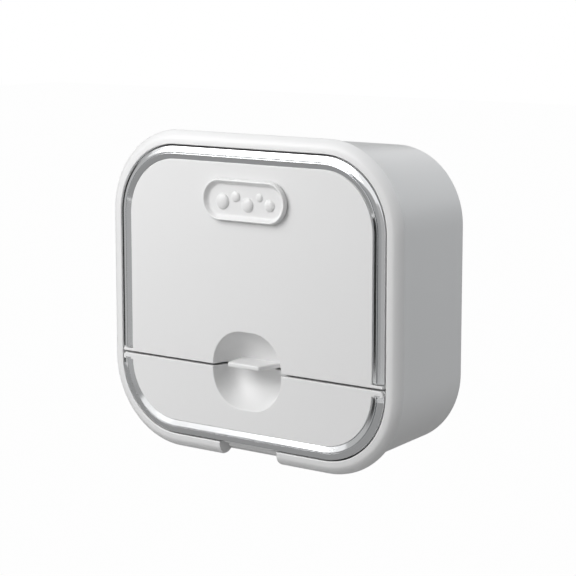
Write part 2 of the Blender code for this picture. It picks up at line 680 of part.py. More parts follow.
def add_badge():
    """Oval badge with a raised rim, plain domes and two studs through the flap."""
    back = -PANEL_PROUD - SEAT_GAP
    front = back - BADGE_PROUD + SEAT_GAP
    wide, high = BADGE_W / 2, BADGE_H / 2
    lean = BADGE_RIM * 0.2

    def oval(inset):
        return rounded_rect(wide - inset, high - inset, (high - inset) * 0.999, badge_z)

    badge = piece("badge_plate", loft([(oval(0), back), (oval(lean), front + lean), (oval(lean * 2), front),
                                       (oval(BADGE_RIM), front), (oval(BADGE_RIM + lean), back - BADGE_FLOOR)]),
                  pearl, flap_axis)
    for across, up, size in BUBBLE_SHARES:
        work = bmesh.new()
        bmesh.ops.create_uvsphere(work, u_segments=SMALL_STEPS, v_segments=SMALL_STEPS // 2,
                                  radius=size * BUBBLE_R)
        flatten = Matrix.Diagonal((1, 0.45, 1, 1))
        place = (across * BADGE_W, back - BADGE_FLOOR, badge_z + up * BADGE_H)
        work.transform(Matrix.Translation(place) @ flatten)
        dome = finish_mesh(work, "dome")
        join(badge, dome)
    keep = box(-wide - OVERRUN, wide + OVERRUN, back, back + BUBBLE_R, badge_z - high - OVERRUN,
               badge_z + high + OVERRUN)
    cut(badge, keep)
    studs = [rod(BADGE_STUD_R, "y", back - BADGE_FLOOR / 2, DOOR_BACK, hand * BADGE_STUD_SPREAD / 2,
                 badge_z, SMALL_STEPS) for hand in (-1, 1)]
    join(badge, merge(studs))


def add_tray():
    """Open drawer tray with flanges on the runners and a notch for the recess."""
    def section(inset):
        wide, low, radius = tray_w - inset, tray_low + inset, TRAY_CORNER - inset
        turn = arc(-wide + radius, low + radius, radius, 180, 270, CORNER_STEPS)
        return turn + [(-x, z) for x, z in reversed(turn)]

    top = flange_top + SEAT_GAP / 3
    outer = section(0) + [(tray_w, top), (-tray_w, top)]
    tray = piece("drawer_tray", slab(outer, "y", TRAY_START, tray_back), inner, drawer_rail)
    hollow = section(TRAY_WALL) + [(tray_w - TRAY_WALL, top + OVERRUN), (-tray_w + TRAY_WALL, top + OVERRUN)]
    cut(tray, slab(hollow, "y", TRAY_START + TRAY_WALL, tray_back - TRAY_WALL))
    notch = RECESS_W / 2 + RECESS_WALL + TRAY_NOTCH_GAP
    notch_low = recess_z - RECESS_H / 2 - RECESS_WALL - TRAY_NOTCH_GAP
    cut(tray, box(-notch, notch, TRAY_START - OVERRUN, TRAY_START + TRAY_WALL + OVERRUN, notch_low,
                  top + OVERRUN))
    reach = frame_in - SEAT_GAP
    flanges = [box(*sorted((side * (tray_w - TRAY_WALL / 2), side * reach)), TRAY_START + SEAT_GAP,
                   tray_back - SEAT_GAP, flange_low, flange_top) for side in (-1, 1)]
    join(tray, merge(flanges))
    holes = [rod(TRAY_SCREW_R + HOLE_GAP, "y", TRAY_START - OVERRUN, TRAY_START + TRAY_WALL + OVERRUN,
                 side * TRAY_SCREW_X, tray_screw_z, SMALL_STEPS) for side in (-1, 1)]
    cut(tray, merge(holes))


add_wall_mount()
add_housing()
add_side_frame("side_frame_left", -1)
add_side_frame("side_frame_right", 1)
add_fasteners()
add_soap_rack()
add_flap()
add_drawer_front()
add_bands()
add_badge()
add_tray()
bpy.context.view_layer.update()
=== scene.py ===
import math

import bmesh
import bpy
from mathutils import Matrix, Vector


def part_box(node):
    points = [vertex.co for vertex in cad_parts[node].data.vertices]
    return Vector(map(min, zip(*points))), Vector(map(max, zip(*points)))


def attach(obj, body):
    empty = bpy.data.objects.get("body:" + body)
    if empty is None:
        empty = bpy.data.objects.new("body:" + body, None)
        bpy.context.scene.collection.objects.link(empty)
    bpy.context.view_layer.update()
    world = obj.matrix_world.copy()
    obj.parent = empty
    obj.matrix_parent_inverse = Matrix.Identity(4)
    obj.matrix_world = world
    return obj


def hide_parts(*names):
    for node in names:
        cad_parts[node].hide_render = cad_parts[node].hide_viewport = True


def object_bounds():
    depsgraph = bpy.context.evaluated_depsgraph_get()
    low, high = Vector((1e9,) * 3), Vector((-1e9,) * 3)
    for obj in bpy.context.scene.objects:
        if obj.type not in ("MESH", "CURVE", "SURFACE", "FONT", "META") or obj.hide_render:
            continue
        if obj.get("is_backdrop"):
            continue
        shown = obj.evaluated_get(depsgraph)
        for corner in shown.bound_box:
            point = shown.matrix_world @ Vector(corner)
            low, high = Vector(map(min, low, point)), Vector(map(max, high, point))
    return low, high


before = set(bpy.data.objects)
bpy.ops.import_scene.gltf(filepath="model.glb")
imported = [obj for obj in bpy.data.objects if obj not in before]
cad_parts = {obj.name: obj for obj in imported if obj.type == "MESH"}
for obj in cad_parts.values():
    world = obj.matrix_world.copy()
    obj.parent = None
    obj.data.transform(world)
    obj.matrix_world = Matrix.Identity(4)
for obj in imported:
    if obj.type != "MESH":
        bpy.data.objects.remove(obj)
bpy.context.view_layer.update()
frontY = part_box("outer_housing")[0].y  # front plane of the housing's ring
mm = 0.001
frontMm = frontY / mm  # shapes are worked in millimetres and brought to metres when they settle
spare = 1.0  # how far a cutter reaches past what it cuts
print("stage: packed model loaded,", len(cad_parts), "pieces")


# outlines, in millimetres, x to the right and z up

def arcPoints(x, z, radius, start, stop, steps):
    turns = [math.radians(start + (stop - start) * k / steps) for k in range(steps + 1)]
    return [(x + radius * math.cos(t), z + radius * math.sin(t)) for t in turns]


def roundedRect(wide, high, radius, middle=0.0, steps=28):
    points = []
    for turn, (side, up) in enumerate(((1, 1), (-1, 1), (-1, -1), (1, -1))):
        points += arcPoints(side * (wide - radius), middle + up * (high - radius), radius,
                            turn * 90, turn * 90 + 90, steps)
    return points


def roundedOutline(corners, steps=8, largeSteps=32, largeRadius=5):
    # corners are (x, z, radius), anticlockwise; hollow corners turn the other way, radius 0 is a plain point
    points = []
    for k, (x, z, radius) in enumerate(corners):
        if not radius:
            points.append((x, z))
            continue
        here = Vector((x, z))
        back = (Vector(corners[k - 1][:2]) - here).normalized()
        ahead = (Vector(corners[(k + 1) % len(corners)][:2]) - here).normalized()
        half = back.angle(ahead) / 2
        reach = radius / math.tan(half)
        middle = here + (back + ahead).normalized() * (radius / math.sin(half))
        first = here + back * reach - middle
        turn = first.angle_signed(here + ahead * reach - middle)
        count = largeSteps if radius > largeRadius else steps
        for n in range(count + 1):
            swung = Matrix.Rotation(-turn * n / count, 2) @ first
            points.append(tuple(middle + swung))
    return points


def mirrored(half):
    # adds the other hand to half an outline; what follows x and z in a corner is kept
    return half + [(-corner[0], *corner[1:]) for corner in reversed(half)]


def inset(outline, amount):
    # moves an anticlockwise outline inwards by the same amount everywhere
    moved = []
    for k, point in enumerate(outline):
        here = Vector(point)
        before = (here - Vector(outline[k - 1])).normalized()
        after = (Vector(outline[(k + 1) % len(outline)]) - here).normalized()
        first = Vector((-before.y, before.x))
        second = Vector((-after.y, after.x))
        moved.append(tuple(here + (first + second) * (amount / (1 + first.dot(second)))))
    return moved


# mesh work: merging distances in millimetres, and the angle in degrees under which faces count as one
meshing = {"loftWeld": 0.0005, "weld": 0.003, "thin": 0.002, "flat": 0.15, "weight": 80}


def newObject(name, mesh):
    made = bpy.data.objects.new(name, mesh)
    bpy.context.scene.collection.objects.link(made)
    return made


def meshFrom(work, name):
    mesh = bpy.data.meshes.new(name)
    work.to_mesh(mesh)
    work.free()
    return mesh


def bridge(work, near, far):
    for k in range(len(near)):
        n = (k + 1) % len(near)
        work.faces.new((near[k], near[n], far[n], far[k]))


def loft(sections, place="front"):
    # sections are (outline, depth); depth runs into the wall, or up for place "flat"
    work = bmesh.new()
    rings = []
    for outline, depth in sections:
        if place == "front":
            rings.append([work.verts.new((x, frontMm + depth, z)) for x, z in outline])
        else:
            rings.append([work.verts.new((x, frontMm + y, depth)) for x, y in outline])
    for near, far in zip(rings, rings[1:]):
        bridge(work, near, far)
    work.faces.new(rings[0])
    work.faces.new(rings[-1])
    bmesh.ops.remove_doubles(work, verts=work.verts, dist=meshing["loftWeld"])
    bmesh.ops.recalc_face_normals(work, faces=work.faces)
    return meshFrom(work, "loft")


def softSlab(outline, front, back, fillet, steps=4, place="front", backFillet=0.0):
    # a plate whose front edge, and back edge where wanted, is rounded
    sections = []
    for k in range(steps + 1):
        turn = math.pi / 2 * k / steps
        sections.append((inset(outline, fillet * (1 - math.sin(turn))),
                         front + fillet * (1 - math.cos(turn))))
    if backFillet:
        for k in range(steps + 1):
            turn = math.pi / 2 * (1 - k / steps)
            sections.append((inset(outline, backFillet * (1 - math.sin(turn))),
                             back - backFillet * (1 - math.cos(turn))))
    else:
        sections.append((outline, back))
    return loft(sections, place)


def joined(meshes):
    work = bmesh.new()
    for mesh in meshes:
        work.from_mesh(mesh)
    return meshFrom(work, "set")


def plain(made):
    # the evaluated shape as a mesh of its own, with no modifier left
    bpy.context.view_layer.update()
    evaluated = made.evaluated_get(bpy.context.evaluated_depsgraph_get())
    mesh = bpy.data.meshes.new_from_object(evaluated)
    made.modifiers.clear()
    made.data = mesh


def carve(made, mesh, operation="DIFFERENCE"):
    tool = newObject("tool", mesh)
    step = made.modifiers.new("carve", "BOOLEAN")
    step.operation = operation
    step.solver = "MANIFOLD"
    step.object = tool
    plain(made)
    bpy.data.objects.remove(tool)


def block(x0, x1, y0, y1, z0, z1):
    work = bmesh.new()
    bmesh.ops.create_cube(work, size=1)
    place = ((x0 + x1) / 2, frontMm + (y0 + y1) / 2, (z0 + z1) / 2)
    work.transform(Matrix.Translation(place) @ Matrix.Diagonal((x1 - x0, y1 - y0, z1 - z0, 1)))
    return meshFrom(work, "block")


def peg(radius, start, stop, place, steps=32, across=False):
    # a round bar from start to stop: into the wall at place (x, z), or to the right at place (depth, z)
    work = bmesh.new()
    bmesh.ops.create_cone(work, cap_ends=True, segments=steps, radius1=radius, radius2=radius,
                          depth=stop - start)
    if across:
        middle = ((start + stop) / 2, frontMm + place[0], place[1])
        turn = Matrix.Rotation(math.pi / 2, 4, "Y")
    else:
        middle = (place[0], frontMm + (start + stop) / 2, place[1])
        turn = Matrix.Rotation(math.pi / 2, 4, "X")
    work.transform(Matrix.Translation(middle) @ turn)
    return meshFrom(work, "peg")


def settle(made, surface, body, nodes, angle=32):
    # smooth shading with flat faces kept flat, then the material and the body it rides on
    work = bmesh.new()
    work.from_mesh(made.data)
    bmesh.ops.remove_doubles(work, verts=work.verts, dist=meshing["weld"])
    bmesh.ops.dissolve_degenerate(work, edges=work.edges, dist=meshing["thin"])
    bmesh.ops.dissolve_limit(work, verts=work.verts, edges=work.edges,
                             angle_limit=math.radians(meshing["flat"]))
    bmesh.ops.triangulate(work, faces=[face for face in work.faces if len(face.verts) > 4])
    work.to_mesh(made.data)
    work.free()
    made.data.transform(Matrix.Scale(mm, 4))
    made.data.shade_smooth()
    made.data.set_sharp_from_angle(angle=math.radians(angle))
    weigh = made.modifiers.new("weigh", "WEIGHTED_NORMAL")
    weigh.keep_sharp = True
    weigh.weight = meshing["weight"]
    plain(made)
    made.data.materials.clear()
    made.data.materials.append(surface)
    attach(made, body)
    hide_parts(*nodes)
    return made


# shader sums

class Wire:
    def __init__(self, tree, socket):
        self.tree = tree
        self.socket = socket

    def combine(self, operation, first, second):
        node = self.tree.nodes.new("ShaderNodeMath")
        node.operation = operation
        for slot, value in zip(node.inputs, (first, second)):
            if isinstance(value, Wire):
                self.tree.links.new(value.socket, slot)
            else:
                slot.default_value = value
        return Wire(self.tree, node.outputs[0])

    def __add__(self, other): return self.combine("ADD", self, other)
    def __radd__(self, other): return self.combine("ADD", other, self)
    def __sub__(self, other): return self.combine("SUBTRACT", self, other)
    def __rsub__(self, other): return self.combine("SUBTRACT", other, self)
    def __mul__(self, other): return self.combine("MULTIPLY", self, other)
    def __rmul__(self, other): return self.combine("MULTIPLY", other, self)

    def node(self, kind, settings=None, output=0, **inputs):
        made = self.tree.nodes.new(kind)
        for name, value in (settings or {}).items():
            setattr(made, name, value)
        for name, value in inputs.items():
            slot = made.inputs[name.replace("_", " ")]
            if isinstance(value, Wire):
                self.tree.links.new(value.socket, slot)
            else:
                slot.default_value = value
        return Wire(self.tree, made.outputs[output])


def noise(place, scale, detail, roughness):
    return place.node("ShaderNodeTexNoise", Vector=place, Scale=scale, Detail=detail, Roughness=roughness)


def addBump(tree, shader, height, strength, distance):
    bump = tree.nodes.new("ShaderNodeBump")
    bump.inputs["Strength"].default_value = strength
    bump.inputs["Distance"].default_value = distance
    tree.links.new(height.socket, bump.inputs["Height"])
    tree.links.new(bump.outputs["Normal"], shader.inputs["Normal"])


def newSurface(name, look):
    # a principled surface, with a wire of object coordinates for its patterns
    surface = bpy.data.materials.new(name)
    surface.use_nodes = True
    tree = surface.node_tree
    shader = tree.nodes["Principled BSDF"]
    shader.inputs["Base Color"].default_value = (*look["colour"], 1)
    shader.inputs["Roughness"].default_value = look["rough"]
    shader.inputs["Metallic"].default_value = look.get("metal", 0.0)
    shader.inputs["IOR"].default_value = look.get("ior", 1.46)
    place = Wire(tree, tree.nodes.new("ShaderNodeTexCoord").outputs["Object"])
    return surface, tree, shader, place


def mouldedSurface(name, look):
    # moulded plastic: faint flow in the colour, uneven gloss and a fine skin
    surface, tree, shader, place = newSurface(name, look)
    flow = noise(place, look["flowScale"], 3.0, 0.55)
    haze = noise(place, look["hazeScale"], 4.0, 0.6)
    skin = noise(place, look["skinScale"], 2.0, 0.5)
    tint = place.node("ShaderNodeMix", {"data_type": "RGBA"}, output=2)
    mix = tint.socket.node
    tree.links.new(flow.socket, mix.inputs["Factor"])
    mix.inputs[6].default_value = (*[c * (1 - look["flow"]) for c in look["colour"]], 1)  # colour A
    mix.inputs[7].default_value = (*[min(1, c * (1 + look["flow"])) for c in look["colour"]], 1)  # colour B
    tree.links.new(tint.socket, shader.inputs["Base Color"])
    gloss = (haze - 0.5) * look["haze"] + look["rough"]
    tree.links.new(gloss.socket, shader.inputs["Roughness"])
    addBump(tree, shader, skin, look["skin"], look["skinDepth"])
    return surface


def metalSurface(name, look):
    # plated or rolled metal: slow waves and fine wiping marks in the gloss
    surface, tree, shader, place = newSurface(name, look)
    wave = noise(place, look["waveScale"], 2.0, 0.5)
    wipe = noise(place, look["wipeScale"], 5.0, 0.7)
    gloss = (wipe - 0.5) * look["wipe"] + look["rough"]
    tree.links.new(gloss.socket, shader.inputs["Roughness"])
    addBump(tree, shader, wave, look["wave"], look["waveDepth"])
    return surface


whiteLook = {"colour": (0.79, 0.79, 0.79), "rough": 0.36, "ior": 1.48, "flow": 0.006, "flowScale": 18.0,
             "haze": 0.05, "hazeScale": 60.0, "skin": 0.05, "skinScale": 900.0, "skinDepth": 0.00005}
doorLook = {"colour": (0.79, 0.79, 0.79), "rough": 0.42, "ior": 1.46, "flow": 0.006, "flowScale": 22.0,
            "haze": 0.06, "hazeScale": 80.0, "skin": 0.07, "skinScale": 1400.0, "skinDepth": 0.00004}
innerLook = {"colour": (0.74, 0.74, 0.73), "rough": 0.48, "ior": 1.46, "flow": 0.01, "flowScale": 30.0,
             "haze": 0.08, "hazeScale": 90.0, "skin": 0.10, "skinScale": 1600.0, "skinDepth": 0.00005}
greyLook = {"colour": (0.40, 0.41, 0.42), "rough": 0.55, "ior": 1.46, "flow": 0.02, "flowScale": 30.0,
            "haze": 0.10, "hazeScale": 90.0, "skin": 0.15, "skinScale": 1800.0, "skinDepth": 0.00006}
foamLook = {"colour": (0.82, 0.82, 0.79), "rough": 0.90, "ior": 1.40, "flow": 0.04, "flowScale": 900.0,
            "haze": 0.05, "hazeScale": 500.0, "skin": 0.60, "skinScale": 2600.0, "skinDepth": 0.0002}
rubberLook = {"colour": (0.66, 0.66, 0.63), "rough": 0.60, "ior": 1.45, "flow": 0.02, "flowScale": 90.0,
              "haze": 0.10, "hazeScale": 200.0, "skin": 0.20, "skinScale": 2000.0, "skinDepth": 0.00005}
chromeLook = {"colour": (0.80, 0.81, 0.82), "rough": 0.09, "metal": 1.0, "wave": 0.06, "waveScale": 60.0,
              "waveDepth": 0.0001, "wipe": 0.05, "wipeScale": 500.0}
steelLook = {"colour": (0.58, 0.58, 0.57), "rough": 0.30, "metal": 1.0, "wave": 0.20, "waveScale": 900.0,
             "waveDepth": 0.00005, "wipe": 0.15, "wipeScale": 1500.0}

housingWhite = mouldedSurface("housingWhite", whiteLook)
doorWhite = mouldedSurface("doorWhite", doorLook)
innerWhite = mouldedSurface("innerWhite", innerLook)
plateGrey = mouldedSurface("plateGrey", greyLook)
padFoam = mouldedSurface("padFoam", foamLook)
bumperRubber = mouldedSurface("bumperRubber", rubberLook)
bandChrome = metalSurface("bandChrome", chromeLook)
screwSteel = metalSurface("screwSteel", steelLook)
print("stage: surfaces made")

housing = {
    "halfW": 70.0, "halfH": 62.85, "corner": 33.6,
    "openW": 64.3, "openH": 57.45, "openCorner": 28.3, "openBack": 10.0, "openFront": 0.05,
    "innerW": 63.0, "innerH": 55.85, "innerCorner": 26.6,
    "backFront": 42.4, "backRear": 44.6, "depth": 48.8,
    "edge": 0.4, "edgeSteps": 4, "rimEdge": 0.3, "sharpAngle": 38,
    # side inset and depth of the bead, from the front ring's crown to the rear rim
    "bead": [(5.0, 0.03), (4.4, 0.09), (3.8, 0.16), (3.35, 0.24), (2.98, 0.35), (2.63, 0.5), (2.28, 0.71),
             (1.93, 0.97), (1.6, 1.19), (1.25, 1.51), (0.92, 1.85), (0.6, 2.22), (0.33, 2.58), (0.13, 2.92),
             (0.03, 3.18), (0.0, 3.4), (0.05, 3.66), (0.22, 4.02), (0.55, 4.48), (1.0, 4.95), (1.5, 5.42),
             (1.97, 5.92), (2.33, 6.48), (2.58, 7.12), (2.74, 7.9), (2.84, 9.0), (2.94, 11.0), (3.6, 29.0),
             (4.25, 48.1), (4.35, 48.5), (4.65, 48.8)],
    # the roof and floor draw in a little more than the sides, from this depth on
    "squat": 0.8, "squatFrom": 8.0,
    "notchFront": 14.0, "notchBack": 13.0, "notchDepth": 6.0, "notchLead": 0.2, "notchSoft": 1.6,
    "notchSteps": 8,
    "hookX": 30.0, "hookHalf": 6.3, "hookTops": (37.3, -13.7), "hookTall": 11.1,
    "screwX": 58.3, "screwZ": 15.0, "screwHole": 1.35,
}


def housingTools(look):
    # slots for the wall plate's hooks and holes for the frames' screws, through the back wall
    start, stop = look["backFront"] - spare, look["backRear"] + spare
    tools = []
    for side in (-1, 1):
        middle = side * look["hookX"]
        for top in look["hookTops"]:
            tools.append(block(middle - look["hookHalf"], middle + look["hookHalf"], start, stop,
                               top - look["hookTall"], top))
        for up in (-1, 1):
            tools.append(peg(look["screwHole"], start, stop, (side * look["screwX"], up * look["screwZ"])))
    return joined(tools)


def notchTool(look):
    # the notch in the lower ring, with soft lower corners
    soft, low, steps = look["notchSoft"], -look["halfH"], look["notchSteps"]
    sections = []
    for width, depth in ((look["notchFront"] + look["notchLead"], -spare), (look["notchFront"], 0.0),
                         (look["notchBack"], look["notchDepth"])):
        flare = [(width + soft * (1 - math.cos(t * math.pi / (2 * steps))),
                  low + soft * (1 - math.sin(t * math.pi / (2 * steps)))) for t in range(steps + 1)]
        right = [(width + soft, low - spare)] + flare[::-1] + [(width, spare - look["openH"])]
        sections.append((mirrored(right), depth))
    return loft(sections)


def buildHousing(look):
    openW, openH, openCorner, edge = look["openW"], look["openH"], look["openCorner"], look["edge"]
    inside = roundedRect(look["innerW"], look["innerH"], look["innerCorner"])
    opening = roundedRect(openW, openH, openCorner)
    sections = [(inside, look["backFront"]), (opening, look["openBack"]), (opening, edge + look["openFront"])]
    for k in range(1, look["edgeSteps"] + 1):  # small round on the ring's inner edge
        turn = math.pi / 2 * k / look["edgeSteps"]
        grow = edge * (1 - math.cos(turn))
        sections.append((roundedRect(openW + grow, openH + grow, openCorner + grow),
                         edge * (1 - math.sin(turn))))
    for side, depth in look["bead"]:
        squat = look["squat"] * max(0, depth - look["squatFrom"]) / (look["depth"] - look["squatFrom"])
        wide, high = look["halfW"] - side, look["halfH"] - side - squat
        sections.append((roundedRect(wide, high, look["corner"] - side), depth))
    sections += [(inset(inside, -look["rimEdge"]), look["depth"]), (inside, look["depth"] - look["rimEdge"]),
                 (inside, look["backRear"])]
    made = newObject("housingShell", loft(sections))
    carve(made, housingTools(look))
    carve(made, notchTool(look))
    return settle(made, housingWhite, "housing", ["outer_housing"], look["sharpAngle"])


housingShell = buildHousing(housing)
print("stage: housing made,", len(housingShell.data.polygons), "faces")

door = {
    "halfW": 63.7, "halfH": 56.85, "corner": 27.7,
    "panelW": 58.58, "panelH": 51.78, "panelCorner": 22.65, "cornerSteps": 36,
    "front": -0.5, "rebate": 0.8, "back": 2.0, "barW": 63.5, "edge": 0.34, "seatEdge": 0.05, "overlap": 0.2,
    "flapLow": -26.74, "drawerTop": -27.6, "flapBar": 1.2, "drawerBar": 2.4,
    # corner radii: at the seam, at the bar's end and beside the panel; the drawer's two; the seat's one
    "flapRounds": (0.6, 0.5, 0.25), "drawerRounds": (1.5, 0.6), "seatRound": 0.6,
    "recessW": 16.5, "recessH": 14.95, "recessCorner": 13.9, "recessZ": -27.85, "recessSteps": 20,
    # the recess from its soft lip to its bottom: inset at the sides, inset above and below, depth
    "recess": [(-0.55, -0.55, -0.52), (-0.33, -0.33, -0.46), (-0.16, -0.16, -0.33), (-0.05, -0.05, -0.15),
               (0.0, 0.03, 0.1), (0.1, 0.4, 0.85), (0.22, 1.0, 1.85), (0.38, 1.75, 3.0), (0.6, 2.6, 4.1),
               (0.9, 3.5, 5.15), (1.4, 4.5, 6.1), (2.1, 5.6, 7.0), (3.1, 6.8, 7.75), (4.4, 8.2, 8.35),
               (5.8, 9.6, 8.75), (7.4, 11.0, 8.95), (9.2, 12.0, 9.0)],
    "recessLead": 0.6, "recessAhead": -1.5, "recessRound": 0.995,
    "recessWall": 1.5, "wallFrom": 0.5, "wallFull": 5,
    # a cutter for the other door's half of the recess wall
    "cutSide": 80, "cutFront": -5, "cutBack": 20, "cutBite": 0.02,
}


def recessMesh(look, grow=0, start=-math.inf):
    # the recess as a cutter, or grown by its wall into the shell behind the door
    sections = []
    for side, rise, depth in look["recess"]:
        if depth < start:
            continue
        wide, high = look["recessW"] - side + grow, look["recessH"] - rise + grow
        radius = min(look["recessCorner"] - side + grow, high * look["recessRound"])
        sections.append((roundedRect(wide, high, radius, look["recessZ"], look["recessSteps"]),
                         depth + grow * min(1, max(depth, 0) / look["wallFull"])))
    if not grow:
        wide, high, radius = [look[key] + look["recessLead"]
                              for key in ("recessW", "recessH", "recessCorner")]
        sections.insert(0, (roundedRect(wide, high, radius, look["recessZ"], look["recessSteps"]),
                            look["recessAhead"]))
    return loft(sections)


def doorOutline(look, upper):
    # the raised panel with its plain corner beside the seam
    panelW, barW = look["panelW"], look["barW"]
    if upper:
        seam, bar = look["flapLow"], look["flapBar"]
        seamRound, barRound, sideRound = look["flapRounds"]
        return roundedOutline(mirrored([(barW, seam, seamRound), (barW, seam + bar, barRound),
                                        (panelW, seam + bar, sideRound),
                                        (panelW, look["panelH"], look["panelCorner"])]))
    seam, bar, radius = look["drawerTop"], look["drawerBar"], look["panelCorner"]
    seamRound, barRound = look["drawerRounds"]
    middle = radius - look["panelH"]  # the corner's arc starts a little below its quarter
    begin = math.degrees(math.asin((middle - seam + bar) / radius))
    arc = arcPoints(radius - panelW, middle, radius, 180 + begin, 270, look["cornerSteps"])
    return roundedOutline(mirrored([(-barW, seam, seamRound), (-barW, seam - bar, barRound)]
                                   + [(x, z, 0) for x, z in arc]))


def seatOutline(look, upper):
    wide, high, radius = look["halfW"], look["halfH"], look["corner"]
    if upper:
        return roundedOutline(mirrored([(wide, look["flapLow"], look["seatRound"]), (wide, high, radius)]))
    return roundedOutline(mirrored([(-wide, look["drawerTop"], look["seatRound"]), (-wide, -high, radius)]))


def buildDoor(name, look, upper):
    made = newObject(name, softSlab(doorOutline(look, upper), look["front"], look["back"] - look["overlap"],
                                    look["edge"]))
    seat = softSlab(seatOutline(look, upper), look["rebate"], look["back"], look["seatEdge"], 1)
    carve(made, seat, "UNION")
    shell = newObject("shell", recessMesh(look, look["recessWall"], look["wallFrom"]))
    if upper:
        low, high = -look["cutSide"], look["flapLow"] + look["cutBite"]
    else:
        low, high = look["drawerTop"] - look["cutBite"], look["cutSide"]
    carve(shell, block(-look["cutSide"], look["cutSide"], look["cutFront"], look["cutBack"], low, high))
    carve(made, shell.data.copy(), "UNION")
    bpy.data.objects.remove(shell)
    carve(made, recessMesh(look))
    return made


tab = {"thick": 1.9, "half": 8.0, "rearHalf": 10.2, "proud": 2.6, "corner": 1.2, "cornerSteps": 10,
       "lift": 0.2, "edge": 0.55, "edgeSteps": 5, "rear": 10.35}
ears = {"depth": 4.5, "rise": 28.0, "radius": 2.9, "steps": 20, "outer": 60.1, "thick": 2.6, "front": 1.4,
        "hole": 1.35, "holeFrom": 56, "holeTo": 62}
lip = {"half": 12.0, "drop": 0.55, "top": -54.5, "round": 0.5, "topRound": 0.3, "front": 0.55, "back": 4.4,
       "edge": 0.25, "skirt": 2.4, "skirtTop": -57.0, "skirtFront": 3.2, "skirtBack": 4.35, "skirtEdge": 0.2}
bosses = {"radius": 2.6, "front": 1.5, "back": 4.3, "x": 38, "z": -42.1}


def buildTab(look, low):
    half, corner = look["half"], look["corner"]
    edge = [(-look["rearHalf"], look["rear"])]
    edge += arcPoints(corner - half, corner - look["proud"], corner, 180, 270, look["cornerSteps"])
    return softSlab(mirrored(edge), low, low + look["thick"], look["edge"], look["edgeSteps"], "flat",
                    look["edge"])


def earMesh(look, hand):
    # a plate behind the flap, round about the hinge pin
    outer = hand * look["outer"]
    x0, x1 = sorted((outer, outer - hand * look["thick"]))
    profile = [(look["front"], look["rise"] + look["radius"])]
    profile += arcPoints(look["depth"], look["rise"], look["radius"], 90, -90, look["steps"])
    profile += [(look["front"], look["rise"] - look["radius"])]
    work = bmesh.new()
    work.faces.new([work.verts.new((x0, frontMm + y, z)) for y, z in profile])
    pushed = bmesh.ops.extrude_face_region(work, geom=work.faces[:])
    bmesh.ops.translate(work, vec=(x1 - x0, 0, 0),
                        verts=[v for v in pushed["geom"] if isinstance(v, bmesh.types.BMVert)])
    bmesh.ops.recalc_face_normals(work, faces=work.faces)
    return meshFrom(work, "ear")


def buildFlap():
    made = buildDoor("flapPanel", door, True)
    carve(made, buildTab(tab, door["flapLow"] + tab["lift"]), "UNION")
    carve(made, joined([earMesh(ears, hand) for hand in (-1, 1)]), "UNION")
    holes = [peg(ears["hole"], *sorted((hand * ears["holeFrom"], hand * ears["holeTo"])),
                 (ears["depth"], ears["rise"]), across=True) for hand in (-1, 1)]
    carve(made, joined(holes))
    return settle(made, doorWhite, "flap", ["flap_panel"])


def lipOutline(low, top, topRound):
    half, soft = lip["half"], lip["round"]
    return roundedOutline([(-half, low, soft), (half, low, soft),
                           (half, top, topRound), (-half, top, topRound)])


def buildDrawerFront():
    made = buildDoor("drawerPanel", door, False)
    outline = lipOutline(-door["halfH"] - lip["drop"], lip["top"], lip["topRound"])
    carve(made, softSlab(outline, lip["front"], lip["back"], lip["edge"]), "UNION")
    skirt = lipOutline(-door["halfH"] - lip["skirt"], lip["skirtTop"], 0)
    carve(made, softSlab(skirt, lip["skirtFront"], lip["skirtBack"], lip["skirtEdge"]), "UNION")
    pegs = [peg(bosses["radius"], bosses["front"], bosses["back"], (hand * bosses["x"], bosses["z"]))
            for hand in (-1, 1)]
    carve(made, joined(pegs), "UNION")
    return settle(made, doorWhite, "drawer", ["drawer_front"])


flapPanel = buildFlap()
drawerPanel = buildDrawerFront()
print("stage: doors made,", len(flapPanel.data.polygons) + len(drawerPanel.data.polygons), "faces")

band = {
    "width": 5.0, "back": 0.6, "sharpAngle": 50,
    # inset and depth across the band, front side only
    "section": [(0.0, 0.35), (0.04, 0.12), (0.12, -0.03), (0.3, -0.1), (0.55, -0.19), (0.8, -0.28),
                (1.05, -0.37), (1.3, -0.45), (1.9, -0.58), (2.45, -0.69), (2.5, -0.66), (2.53, -0.2),
                (2.76, -0.2), (2.79, -0.86), (2.84, -0.93), (2.92, -0.95), (3.02, -0.92), (3.2, -0.85),
                (3.7, -0.66), (4.3, -0.43), (5.0, -0.16)],
    # height of the two ends beside the seam, how far they are rounded, and what the section shrinks to there
    "flapEnd": -25.25, "drawerEnd": -30.15, "flapRound": 0.5, "drawerRound": 1.6,
    "endWidth": 0.35, "endHeight": 0.02,
    "endSteps": 6, "sideSteps": 6, "cornerSteps": 40,
}


def bandPath(look, upper):
    # half of the band's run, from its end at the seam: point, inward direction, share of the section
    wide, high, radius = door["halfW"], door["halfH"], door["corner"]
    if upper:
        end, sign, rounding = look["flapEnd"], 1, look["flapRound"]
    else:
        end, sign, rounding = look["drawerEnd"], -1, look["drawerRound"]
    path = []
    for k in range(look["endSteps"] + 1):
        turn = math.pi / 2 * k / look["endSteps"]
        rise = rounding * (1 - math.cos(turn))
        path.append(((wide, end + sign * rise), (-1, 0), max(math.sin(turn), look["endHeight"])))
    middle = sign * (high - radius)
    begin = end + sign * rounding
    for k in range(1, look["sideSteps"]):
        path.append(((wide, begin + (middle - begin) * k / look["sideSteps"]), (-1, 0), 1))
    for k in range(look["cornerSteps"] + 1):
        turn = math.pi / 2 * k / look["cornerSteps"]
        path.append(((wide - radius + radius * math.cos(turn), middle + sign * radius * math.sin(turn)),
                     (-math.cos(turn), -sign * math.sin(turn)), 1))
    return path


